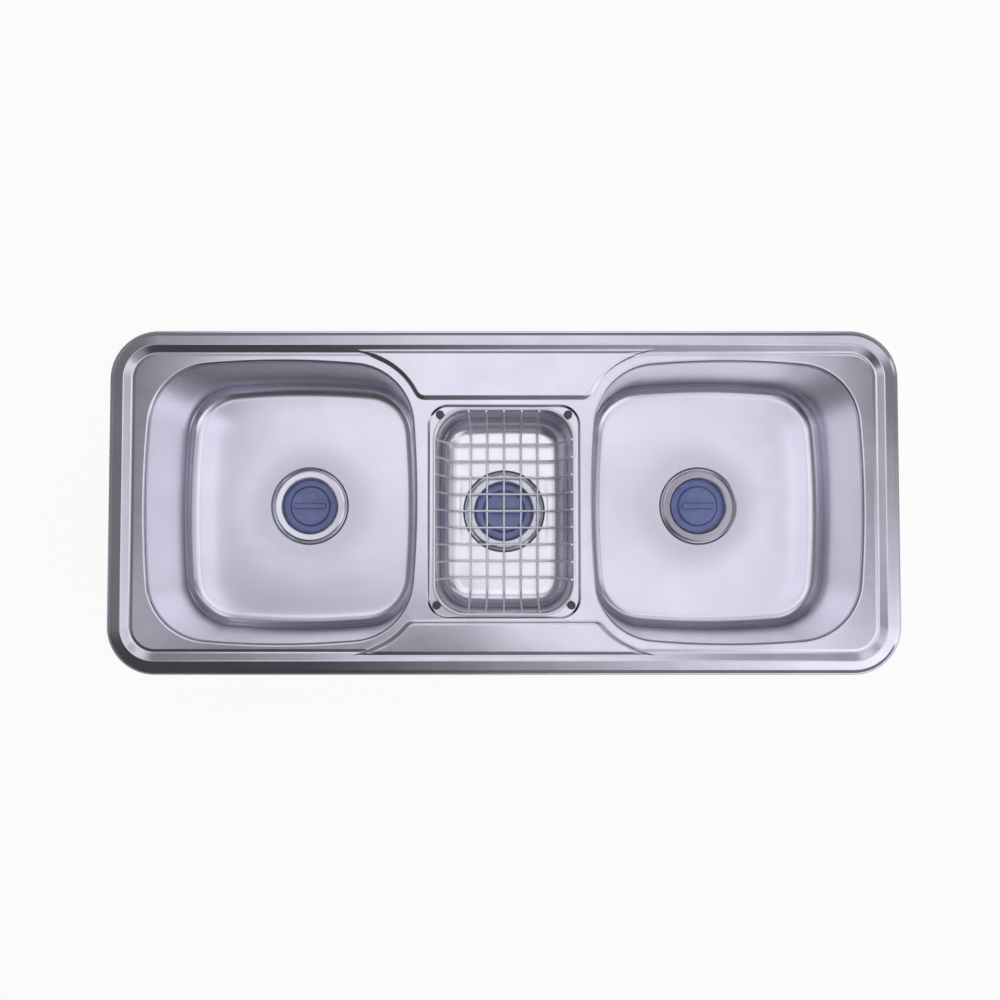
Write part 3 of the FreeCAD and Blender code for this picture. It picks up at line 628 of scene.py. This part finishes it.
def buildDeck():
    bm = bmesh.new()
    rimOutline = roundedOutline(rim["half"], rim["corner"], steps=(12, 20, 30))
    level = deckSize["level"]
    lips = [(leftOutline, largeLip["roll"], level), (rightOutline, largeLip["roll"], level),
            (smallOutline, smallLip["roll"], level - ledge["drop"])]
    loops = [inset(rimOutline, 0, 0)] + [inset(outline, -roll, 0) for outline, roll, _ in lips]
    insideRings = [inset(rimOutline, d, 0) for d, z in rimPath[1:-1]]
    ledgeOutline = roundedOutline(ledgeHalf, ledge["corner"], smallLip["centre"], (8, 10, 6))
    for share in ledge["lines"]:
        insideRings.append(inset(ledgeOutline, ledge["run"] * share, 0))
    lines = [ring + ring[:1] for ring in insideRings]
    for share in raised["lines"]:
        lines.append(plateauLine(raised["rear"], raised["run"] * share))
        lines.append([Vector((p.x, -p.y)) for p in plateauLine(raised["front"], raised["run"] * share)])
    rings = flatFill(bm, loops, lines)
    for ring in rings[1:]:
        openUp(bm, ring)
    for vert in bm.verts:
        vert.co.z = deckHeight(vert.co.x, vert.co.y)
    for (outline, roll, level), ring in zip(lips, rings[1:]):
        rollLip(bm, outline, ring, roll, level)
    faceUp(bm)
    makePiece("deckSheet", bm, deckSteel, "sink", ["deck"], sheet=deckSize["sheet"])


buildDeck()
print("deck pressed")


# the drawn bowls

largeBowl = {"top": -7, "floor": -178, "draft": 9, "round": 22, "margin": 6, "dish": 1.4, "waste": (-316, 0)}
smallBowl = {"top": -9.5, "floor": -93, "draft": 5, "round": 25, "margin": 3, "dish": 0.8, "waste": (0, -11)}
seat = {
    "edge": 63.5, "funnel": 55, "groove": (60.4, -4), "radius": 57.8, "depth": 3, "hole": 46, "round": 0.6,
    "rings": (0.2, 0.4, 0.52, 0.64, 0.74, 0.82, 0.89, 0.95, 1),
}


def buildBowl(name, outline, size, node, waste, finish=bowlSteel):
    # walls down to the floor's edge, rings across the floor, and the seat of the waste
    bm = bmesh.new()
    floor = size["floor"]
    start = size["draft"] + size["round"] + size["margin"]
    section = [(0, size["top"]), (size["draft"], floor), (start, floor)]
    ring = carry(bm, outline, softPath(section, [0, size["round"], 0], steps=12))
    edge = [v.co.copy() for v in ring]
    middle = Vector((waste[0], waste[1], 0))

    def seatRing(radius, z):
        return [middle + (p - middle).to_2d().normalized().to_3d() * radius + Vector((0, 0, z)) for p in edge]

    seatEdge = seatRing(seat["edge"], floor)
    for share in seat["rings"]:
        places = [a.lerp(b, share) for a, b in zip(edge, seatEdge)]
        for place in places:
            apart = (place.to_2d() - middle.to_2d()).length - seat["edge"]
            place.z -= size["dish"] * max(1 - apart / seat["funnel"], 0) ** 2
        ring = growRing(bm, ring, places)
    low = floor - seat["depth"]
    section = [(seat["edge"], floor - size["dish"]), (seat["groove"][0], floor + seat["groove"][1]),
               (seat["radius"], low), (seat["hole"], low)]
    for radius, z in softPath(section, [0, seat["round"], seat["round"], 0], steps=4)[1:]:
        ring = growRing(bm, ring, seatRing(radius, z))
    faceUp(bm)
    makePiece(name, bm, finish, "sink", [node], sheet=deckSize["sheet"])


wasteX, wasteY = largeBowl["waste"]
buildBowl("leftBowl", leftOutline, largeBowl, "left_bowl", (wasteX, wasteY))
buildBowl("rightBowl", rightOutline, largeBowl, "right_bowl", (-wasteX, wasteY))
buildBowl("centreBowl", smallOutline, smallBowl, "centre_bowl", smallBowl["waste"], smallBowlSteel)
print("bowls drawn")


# wastes: heights from the seat in the bowl's floor

flange = {
    "section": [(58, 1), (57.4, 2), (55, 2.6), (46.5, 2.6), (44, 0.8), (44, -6), (39, -11), (36, -32)],
    "rounding": [0, 0.8, 2, 2.2, 2, 2, 2, 0], "sheet": 1,
}
hub = {"section": [(11, -32), (9, -26), (3.2, -26)], "rounding": [0, 1.5, 0], "steps": 48}
cupHoles = {"count": 8, "radius": 4, "circle": 23.5, "steps": 24}
plugSize = {
    "section": [(0, -1), (30.2, -1), (33.2, -5.5), (42.2, -5.5), (42.4, 0.8), (43.6, 0.8), (43.6, -5.7),
                (41.8, -7.5), (31.2, -7.5), (28.2, -3), (6, -3), (6, -22.2), (0, -22.2)],
    "rounding": [0, 1.2, 1.2, 1, 0.4, 0.4, 0.6, 0.6, 1, 1, 1, 1, 0],
    "barLow": (-26, -4.5, -2), "barHigh": (26, 4.5, 5), "barRound": 2,
}
seal = {"section": [(36, -10.5), (39.1, -10.5), (42.1, -7.5), (36, -7.5)], "round": 0.5}
gaskets = {"flange": (47, 57, 0, 1), "body": (47, 56, -4, -1)}  # inner and outer radius, bottom and top
gasketRound = 0.3
outlet = {
    "section": [(57, -4), (57, -8), (50, -8), (50, -48.5), (26.4, -58), (20, -58), (20, -56), (47.5, -46),
                (47.5, -4)],
    "rounding": [1, 1, 1.5, 3, 1, 0.3, 1, 1, 0],
    "ribs": (8, (48.5, -1.5, -46), (53, 1.5, -8.5), 0.6), "arms": (3, (6, -1.5, -45), (48, 1.5, -36), 0.4),
    "boss": (7, -50.5, -34.5), "tail": (23.9, -82, -58), "pitch": 2.3, "thread": 0.9, "bore": 20,
}
wasteScrew = {
    "head": [(0, -22.5), (4, -22.5), (6, -24.8), (6, -26), (0, -26)], "rounding": [0, 2, 0.8, 0, 0],
    "slot": (1.4, -1.6), "shank": (3, -50, -26), "pitch": 1.0, "thread": 0.35,
}


def closedPath(points, radii, steps):
    # a closed section with rounded corners
    path = softPath([points[-1]] + list(points) + [points[0]], [0] + list(radii) + [0], steps)
    return [tuple(p) for p in path[1:-1]]


def buildStrainer(side, centre):
    # the flange and the cup as one sheet, then the cup's floor with its holes and hub
    bm = bmesh.new()
    section = softPath(flange["section"], flange["rounding"], steps=4)
    ring = carry(bm, circleOutline(0), [(-r, z) for r, z in section])
    holes = []
    for k in range(cupHoles["count"]):
        angle = fullTurn * k / cupHoles["count"]
        spot = (math.cos(angle) * cupHoles["circle"], math.sin(angle) * cupHoles["circle"])
        holes.append([p for p, n in circleOutline(cupHoles["radius"], spot, cupHoles["steps"])])
    hubEdge = [p for p, n in circleOutline(hub["section"][0][0], count=hub["steps"])]
    floor = bmesh.new()
    rings = flatFill(floor, [[v.co.to_2d() for v in ring], hubEdge] + holes)
    for hole in rings[1:]:
        openUp(floor, hole)
    for vert in floor.verts:
        vert.co.z = flange["section"][-1][1]
    section = softPath(hub["section"], hub["rounding"], steps=3)
    carry(floor, circleOutline(0, count=hub["steps"]), [(-r, z) for r, z in section[1:]], rings[1])
    join(bm, floor)
    bmesh.ops.remove_doubles(bm, verts=bm.verts, dist=seamGap)
    faceUp(bm)
    centred(bm, centre)
    makePiece(side + "Strainer", bm, drainSteel[side], "sink", [side + "_strainer"],
              sheet=flange["sheet"])


def buildPlug(side, centre):
    bm = bmesh.new()
    turn(bm, softPath(plugSize["section"], plugSize["rounding"], steps=3), closed=False)
    box(bm, plugSize["barLow"], plugSize["barHigh"], plugSize["barRound"], segments=4)
    centred(bm, centre)
    makePiece(side + "Plug", bm, bluePlastic, side + "_plug", [side + "_plug"])
    bm = bmesh.new()
    turn(bm, closedPath(seal["section"], [seal["round"]] * 4, steps=3))
    centred(bm, centre)
    makePiece(side + "PlugSeal", bm, blackRubber, side + "_plug", [side + "_plug_seal"])


def slotted(bm, verts, height, width, deep):
    # sinks a driver's slot into the flat end at a height
    for offset in (-width / 2, width / 2):
        geom = [v for v in verts if v.is_valid]
        edges = list({e for v in geom for e in v.link_edges})
        faces = list({f for v in geom for f in v.link_faces})
        cut = bmesh.ops.bisect_plane(bm, geom=geom + edges + faces, plane_co=(0, offset, 0),
                                     plane_no=(0, 1, 0))
        verts = geom + vertsOf(cut["geom_cut"])
    inside = [f for f in bm.faces if abs(f.calc_center_median().y) < width / 2
              and all(abs(v.co.z - height) < flatGap for v in f.verts)]
    made = bmesh.ops.extrude_face_region(bm, geom=inside)["geom"]
    bmesh.ops.delete(bm, geom=inside, context="FACES")
    bmesh.ops.translate(bm, vec=(0, 0, deep), verts=vertsOf(made))


ringsPerTurn = 4


def threaded(bm, shank, pitch, depth, around, bore=0.0):
    # a shank with one thread wound round it, solid or bored
    radius, low, high = shank
    count = int((high - low) / pitch * ringsPerTurn)
    ring = None
    if bore:
        ring = startRing(bm, inset(circleOutline(bore, count=around), 0, low))
    for k in range(count + 1):
        z = low + (high - low) * k / count
        places = []
        for j in range(around):
            phase = ((z - low) / pitch - j / around) % 1
            ease = min(1, min(z - low, high - z) / pitch)
            r = radius - depth * abs(2 * phase - 1) * ease - depth * (1 - ease)
            angle = fullTurn * j / around
            places.append(Vector((math.cos(angle) * r, math.sin(angle) * r, z)))
        if ring is None:
            ring = startRing(bm, places)
            bm.faces.new(ring)
        else:
            ring = growRing(bm, ring, places)
    if bore:
        ring = growRing(bm, ring, inset(circleOutline(bore, count=around), 0, high))
        growRing(bm, ring, inset(circleOutline(bore, count=around), 0, low))
    else:
        bm.faces.new(ring)


def spokes(bm, count, low, high, bevel):
    # equal bars round the upright axis
    for k in range(count):
        made = box(bm, low, high, bevel)
        about = Matrix.Rotation(fullTurn * k / count, 3, "Z")
        bmesh.ops.rotate(bm, verts=made, cent=(0, 0, 0), matrix=about)


def buildOutlet(side, centre):
    bm = bmesh.new()
    turn(bm, closedPath(outlet["section"], outlet["rounding"], steps=4))
    spokes(bm, *outlet["ribs"])
    radius, low, high = outlet["boss"]
    made = bmesh.ops.create_cone(bm, cap_ends=True, segments=32, radius1=radius, radius2=radius,
                                 depth=high - low)["verts"]
    bmesh.ops.translate(bm, vec=(0, 0, (high + low) / 2), verts=made)
    threaded(bm, outlet["tail"], outlet["pitch"], outlet["thread"], around=72, bore=outlet["bore"])
    spokes(bm, *outlet["arms"])
    centred(bm, centre)
    makePiece(side + "Outlet", bm, whitePlastic, "sink",
              [side + "_outlet_body", side + "_outlet_tail"])


def buildWasteScrew(side, centre):
    size = wasteScrew
    bm = bmesh.new()
    turn(bm, softPath(size["head"], size["rounding"], steps=4), steps=40, closed=False)
    slotted(bm, list(bm.verts), size["head"][0][1], *size["slot"])
    threaded(bm, size["shank"], size["pitch"], size["thread"], around=20)
    centred(bm, centre)
    makePiece(side + "WasteScrew", bm, drainSteel[side], "sink", [side + "_waste_screw"])


def buildGaskets(side, centre):
    for kind, (inner, outer, low, high) in gaskets.items():
        bm = bmesh.new()
        corners = [(inner, low), (outer, low), (outer, high), (inner, high)]
        turn(bm, closedPath(corners, [gasketRound] * 4, steps=3))
        centred(bm, centre)
        makePiece(side + kind.title() + "Gasket", bm, blackRubber, "sink",
                  [side + "_" + kind + "_gasket"])


largeSeat = largeBowl["floor"] - seat["depth"]
smallSeat = smallBowl["floor"] - seat["depth"]
wastes = {"left": (wasteX, wasteY, largeSeat), "centre": (*smallBowl["waste"], smallSeat),
          "right": (-wasteX, wasteY, largeSeat)}
for side, centre in wastes.items():
    buildStrainer(side, centre)
    buildPlug(side, centre)
    buildOutlet(side, centre)
    buildWasteScrew(side, centre)
    buildGaskets(side, centre)
print("wastes fitted")


# the wire basket

basket = {
    "half": (101.5, 148.95), "centreY": -13.75, "corner": 45, "level": 3.5, "frameWire": 2, "wire": 1.5,
    "depth": 79.5, "lean": 14, "bend": 16, "long": 5, "longPitch": 25.7, "cross": 9, "crossPitch": 25.4,
    "crossY": -11,
}
foot = {
    "section": [(0, 0), (6, 0), (6, 8.5), (0, 8.5)], "rounding": [0, 2, 1.5, 0], "low": -0.2,
    "angles": (45, 45, 38, 38), "apart": 5,
}


def wirePiece(name, paths, radius, closed, node):
    curve = bpy.data.curves.new(name, "CURVE")
    curve.dimensions = "3D"
    curve.bevel_depth = radius * mm
    curve.bevel_resolution = 5
    curve.use_fill_caps = True
    for path in paths:
        spline = curve.splines.new("POLY")
        spline.points.add(len(path) - 1)
        for point, place in zip(spline.points, path):
            point.co = (*(Vector(place) * mm), 1)
        spline.use_cyclic_u = closed
        spline.use_smooth = True
    curve.materials.append(wireSteel)
    piece = bpy.data.objects.new(name, curve)
    bpy.context.scene.collection.objects.link(piece)
    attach(piece, "basket")
    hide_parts(node)


def basketPath(half, bottom):
    # one wire, from the frame down a leaning side, along the bottom and up again
    lean = math.radians(basket["lean"])
    top = basket["level"] + basket["frameWire"]
    atFrame = half - (basket["frameWire"] + basket["wire"]) / math.cos(lean)
    atTop = atFrame + basket["frameWire"] * math.tan(lean)
    atBottom = atFrame - (basket["level"] - bottom) * math.tan(lean)
    return softPath([(-atTop, top), (-atBottom, bottom), (atBottom, bottom), (atTop, top)],
                    [0, basket["bend"], basket["bend"], 0], steps=10)


def buildBasket():
    outline = roundedOutline(basket["half"], basket["corner"], (0, basket["centreY"]), (4, 16, 4))
    wirePiece("basketFrame", [inset(outline, 0, basket["level"])], basket["frameWire"], True, "basket_frame")
    bottom = basket["level"] - basket["depth"]
    wires = []
    for k in range(basket["long"]):
        x = (k - (basket["long"] - 1) / 2) * basket["longPitch"]
        wires.append([(x, basket["centreY"] + a, z) for a, z in basketPath(basket["half"][1], bottom)])
    wirePiece("basketLongWires", wires, basket["wire"], False, "basket_long_wires")
    wires = []
    for k in range(basket["cross"]):
        y = basket["crossY"] + (k - (basket["cross"] - 1) / 2) * basket["crossPitch"]
        wires.append([(a, y, z) for a, z in basketPath(basket["half"][0], bottom + 2 * basket["wire"])])
    wirePiece("basketCrossWires", wires, basket["wire"], False, "basket_cross_wires")
    bm = bmesh.new()
    reach = basket["corner"] + basket["frameWire"] + foot["apart"]
    for (a, b), angle in zip(((1, 1), (-1, 1), (-1, -1), (1, -1)), foot["angles"]):
        lean = math.radians(angle)
        x = a * (basket["half"][0] - basket["corner"] + reach * math.cos(lean))
        y = basket["centreY"] + b * (basket["half"][1] - basket["corner"] + reach * math.sin(lean))
        one = bmesh.new()
        turn(one, softPath(foot["section"], foot["rounding"], steps=5), steps=32, closed=False)
        centred(one, (x, y, foot["low"]))
        join(bm, one)
    makePiece("basketFeet", bm, footRubber, "basket", ["basket_feet"])


buildBasket()
print("basket bent")


# fixings under the rim

clipScrew = {
    "head": [(0, -60), (5, -60), (5, -64), (0, -64)], "rounding": [0, 0.8, 1.2, 0],
    "slot": (1.3, 2), "shank": (2.5, -60, -9), "pitch": 0.9, "thread": 0.3,
}
clipPlaces = {
    "rear_left": (-300, 226), "rear_middle": (0, 226), "rear_right": (300, 226),
    "front_left": (-300, -226), "front_middle": (0, -226), "front_right": (300, -226),
    "left_end": (-551, 0), "right_end": (551, 0),
}
cadFinishes = {
    "rear_rail": railSteel, "front_rail": railSteel, "left_rail": railSteel, "right_rail": railSteel,
    "rail_nuts": zincSteel, "seal_strip": greyFoam, "left_damping_pad": padRubber,
    "right_damping_pad": padRubber,
}
brokenEdge = {"weld": 0.01, "width": 0.25, "segments": 2, "angle": 40}


def buildClipScrew(name, place):
    size = clipScrew
    bm = bmesh.new()
    turn(bm, softPath(size["head"], size["rounding"], steps=3), steps=32, closed=False)
    slotted(bm, list(bm.verts), size["head"][-1][1], *size["slot"])
    threaded(bm, size["shank"], size["pitch"], size["thread"], around=16)
    centred(bm, (*place, 0))
    label = "".join(word.title() for word in name.split("_")) + "ClipScrew"
    makePiece(label, bm, zincSteel, name + "_clip_screw", [name + "_clip_screw"])


def finishNode(name, finish):
    # a CAD solid that stays, with its edges broken and its own finish
    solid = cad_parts[name]
    solid.data.materials.clear()
    solid.data.materials.append(finish)
    weld = solid.modifiers.new("weld", "WELD")
    weld.merge_threshold = brokenEdge["weld"] * mm
    edge = solid.modifiers.new("edge", "BEVEL")
    edge.width = brokenEdge["width"] * mm
    edge.segments = brokenEdge["segments"]
    edge.limit_method = "ANGLE"
    edge.angle_limit = math.radians(brokenEdge["angle"])


for name, place in clipPlaces.items():
    buildClipScrew(name, place)
    finishNode(name + "_clip_claw", zincSteel)
for name, finish in cadFinishes.items():
    finishNode(name, finish)
print("clips and rails finished")


# the room, the light and the camera

room = {
    "floor": 6.0, "gap": 0.0005, "paper": (0.95, 0.95, 0.95), "roughness": 0.9, "level": 0.75, "glow": 0.93,
}


def whiteRoom():
    world = bpy.data.worlds.new("room")
    bpy.context.scene.world = world
    sky = Finish("room", world)
    lit = sky.add("ShaderNodeBackground", {}, {"Color": (1, 1, 1, 1), "Strength": room["level"]})
    white = sky.add("ShaderNodeBackground", {}, {"Color": (1, 1, 1, 1), "Strength": 1.0})
    sky.blend(sky.seenDirectly(), lit, white)


def stageObject(name, bm, finish):
    mesh = bpy.data.meshes.new(name)
    bm.to_mesh(mesh)
    bm.free()
    mesh.materials.append(finish.material)
    thing = bpy.data.objects.new(name, mesh)
    bpy.context.scene.collection.objects.link(thing)
    return thing


def layFloor():
    # paper that keeps the shadow and looks white to the camera and in the steel
    bm = bmesh.new()
    bmesh.ops.create_grid(bm, x_segments=1, y_segments=1, size=room["floor"] / 2)
    centred(bm, (0, 0, cadBox[0][2] - room["gap"]))
    paper = Finish("paper")
    paper.give(Base_Color=colour(room["paper"]), Roughness=room["roughness"])
    white = paper.add("ShaderNodeEmission", {}, {"Color": (1, 1, 1, 1), "Strength": 1.0})
    paper.blend(paper.seenDirectly() * room["glow"], Signal(paper, paper.shader.outputs[0]), white)
    floor = stageObject("studioFloor", bm, paper)


# The tent's light, in metres. A patch has a brightness and slopes: an axis, where it begins, where full.
# Away and off are x and y whatever their sign, back is the distance from a line, slant is y on a slant.
tent = {"half": (5.6, 5.2), "foot": -0.2, "height": 2.4, "back": 0.1}
panel = {
    "level": 1.33, "slant": 0.15, "step": (-0.35, 0.6), "stepDepth": 0.22,
    "edges": [("x", -1.24, -1.08), ("x", 1.3, 1.16), ("slant", -0.52, -0.35), ("y", 1.4, 1.0)],
    "patches": {
        "outer": (-0.16, ("away", 0.6, 0.9)),
        "ends": (0.42, ("away", 1.05, 1.16), ("off", 0.6, 0.35)),
        "spots": (0.3, ("away", 0.88, 1.0), ("back", 0.3, 0.05)),
    },
    "centre": (0.3, ("away", 0.16, 0.06), ("off", 0.5, 0.3)),
    "dull": [((-0.24, -0.4, 2.4), 0.3, 0.8), ((-0.6, 0.08, 2.4), 0.3, 0.45), ((0.57, 0.1, 2.4), 0.38, 0.6)],
    "dullCore": 0.06,
}
cloths = {
    "level": 0.24,
    "patches": {
        "frontRight": (1.15, ("x", 0.2, 1.6), ("y", -0.1, -0.7), ("y", -2.16, -2.04)),
        "frontLeft": (-0.17, ("x", 0.2, -0.8), ("y", -0.5, -1.2)),
        "farFront": (0.55, ("x", -0.9, 0.9), ("y", -1.4, -1.7), ("y", -2.16, -2.04)),
        "rear": (0.9, ("y", 1.2, 1.9), ("y", 3.6, 3.0), ("x", -2.5, 0.2)),
        "rearSides": (-0.9, ("y", 2.35, 2.65), ("y", 3.6, 3.0), ("x", -2.5, 0.2), ("away", 0.6, 1.3)),
        "farRear": (0.4, ("y", 2.35, 2.65), ("y", 3.6, 3.0), ("away", 1.0, 0.4)),
        "farRight": (0.8, ("x", 1.55, 1.95), ("y", 0.6, 0.0), ("y", -0.9, -0.2)),
        "farRightFade": (-0.4, ("x", 2.6, 3.1), ("y", 0.6, 0.0), ("y", -0.9, -0.2)),
    },
    "leftSpot": {"place": (-1.45, -0.36, 2.4), "begins": 0.4, "full": 0.1, "light": 0.5},
}


def hangTent():
    # a broad overhead panel with cloths round it, out of the camera's sight
    bm = bmesh.new()
    halfX, halfY = tent["half"]
    box(bm, (-halfX, -halfY, tent["foot"]), (halfX, halfY, tent["height"]))
    lowest = min(bm.faces, key=lambda face: face.calc_center_median().z)
    bmesh.ops.delete(bm, geom=[lowest], context="FACES")
    glow = Finish("tentGlow")
    where = glow.add("ShaderNodeTexCoord", output="Object")
    x = glow.add("ShaderNodeSeparateXYZ", {}, {0: where}, output="X")
    y = glow.add("ShaderNodeSeparateXYZ", {}, {0: where}, output="Y")
    axes = {
        "x": x, "y": y, "away": x.maths("ABSOLUTE", x, 0), "off": y.maths("ABSOLUTE", y, 0),
        "back": y.maths("ABSOLUTE", y - tent["back"], 0),
        "slant": y + x * panel["slant"] + glow.ease(x, *panel["step"]) * panel["stepDepth"],
    }

    def patch(light, slopes):
        for axis, begins, full in slopes:
            light = light * glow.ease(axes[axis], begins, full)
        return light

    def patched(part):
        light = part["level"]
        for amount, *slopes in part["patches"].values():
            light = light + patch(amount, slopes)
        return light

    def near(place, begins, full):
        apart = glow.add("ShaderNodeVectorMath", {"operation": "DISTANCE"}, {0: where, 1: place}, "Value")
        return glow.ease(apart, begins, full)

    bright = patched(panel)
    for place, begins, share in panel["dull"]:
        bright = bright * (1 - near(place, begins, panel["dullCore"]) * share)
    spot = cloths["leftSpot"]
    around = patched(cloths) + near(spot["place"], spot["begins"], spot["full"]) * spot["light"]
    middle = patch(1, panel["edges"])
    amount, *slopes = panel["centre"]
    light = around * (1 - middle) + middle * bright + patch(amount, slopes)
    glow.give(Base_Color=colour((0, 0, 0)), Roughness=1.0, Emission_Color=light, Emission_Strength=1.0)
    cloth = stageObject("softTent", bm, glow)
    cloth.visible_camera = False


cameraSet = {"lens": 37.14, "sensor": 36, "height": 1500, "y": -56.7, "tilt": 2.27, "shift": (-0.004, 0.0)}


def setCamera():
    lens = bpy.data.cameras.new("topCamera")
    lens.lens = cameraSet["lens"]
    lens.sensor_width = cameraSet["sensor"]
    lens.shift_x, lens.shift_y = cameraSet["shift"]
    camera = bpy.data.objects.new("topCamera", lens)
    camera.location = (0, cameraSet["y"] * mm, cameraSet["height"] * mm)
    camera.rotation_euler = (math.radians(cameraSet["tilt"]), 0, 0)
    bpy.context.scene.collection.objects.link(camera)
    bpy.context.scene.camera = camera


whiteRoom()
layFloor()
hangTent()
setCamera()
bpy.context.scene.view_settings.view_transform = "Standard"
print("room lit")
